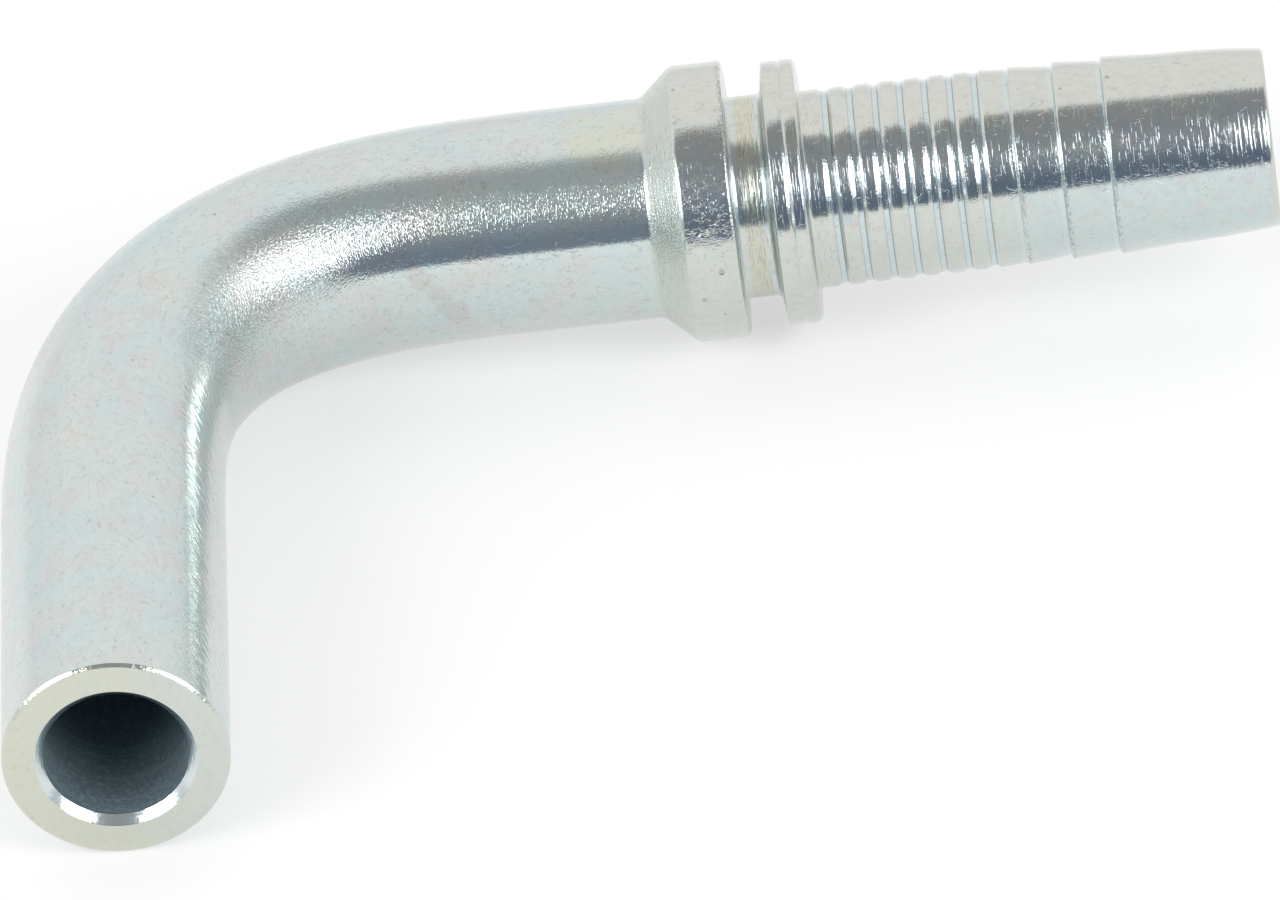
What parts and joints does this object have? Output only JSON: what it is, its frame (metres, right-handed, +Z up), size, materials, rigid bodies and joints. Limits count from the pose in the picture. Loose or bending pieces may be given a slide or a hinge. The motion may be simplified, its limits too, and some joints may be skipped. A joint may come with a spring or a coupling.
{
  "type": "pipe stub",
  "caption": "Zinc-plated steel hydraulic pipe stub: a plain standpipe and a grooved, barbed hose tail with a ferrule collar, joined by an eased right-angle bend.",
  "frame": {"origin": "on the ground, under the middle of the piece's bounding box, as it lies at rest", "axes": "+Z up; the standpipe runs along -Y to its open end; the hose tail runs along +X and rises 2.8 degrees, because the piece lies on its standpipe and on the edge of its collar"},
  "size_m": [0.0698, 0.054, 0.0152],
  "materials": {
    "zinc_plated_steel": "bright zinc plating with a clear passivate, satin, fine turning marks on the hose tail"
  },
  "bodies": {
    "root": {"pipe_stub": "zinc_plated_steel"}
  },
  "joints": []
}
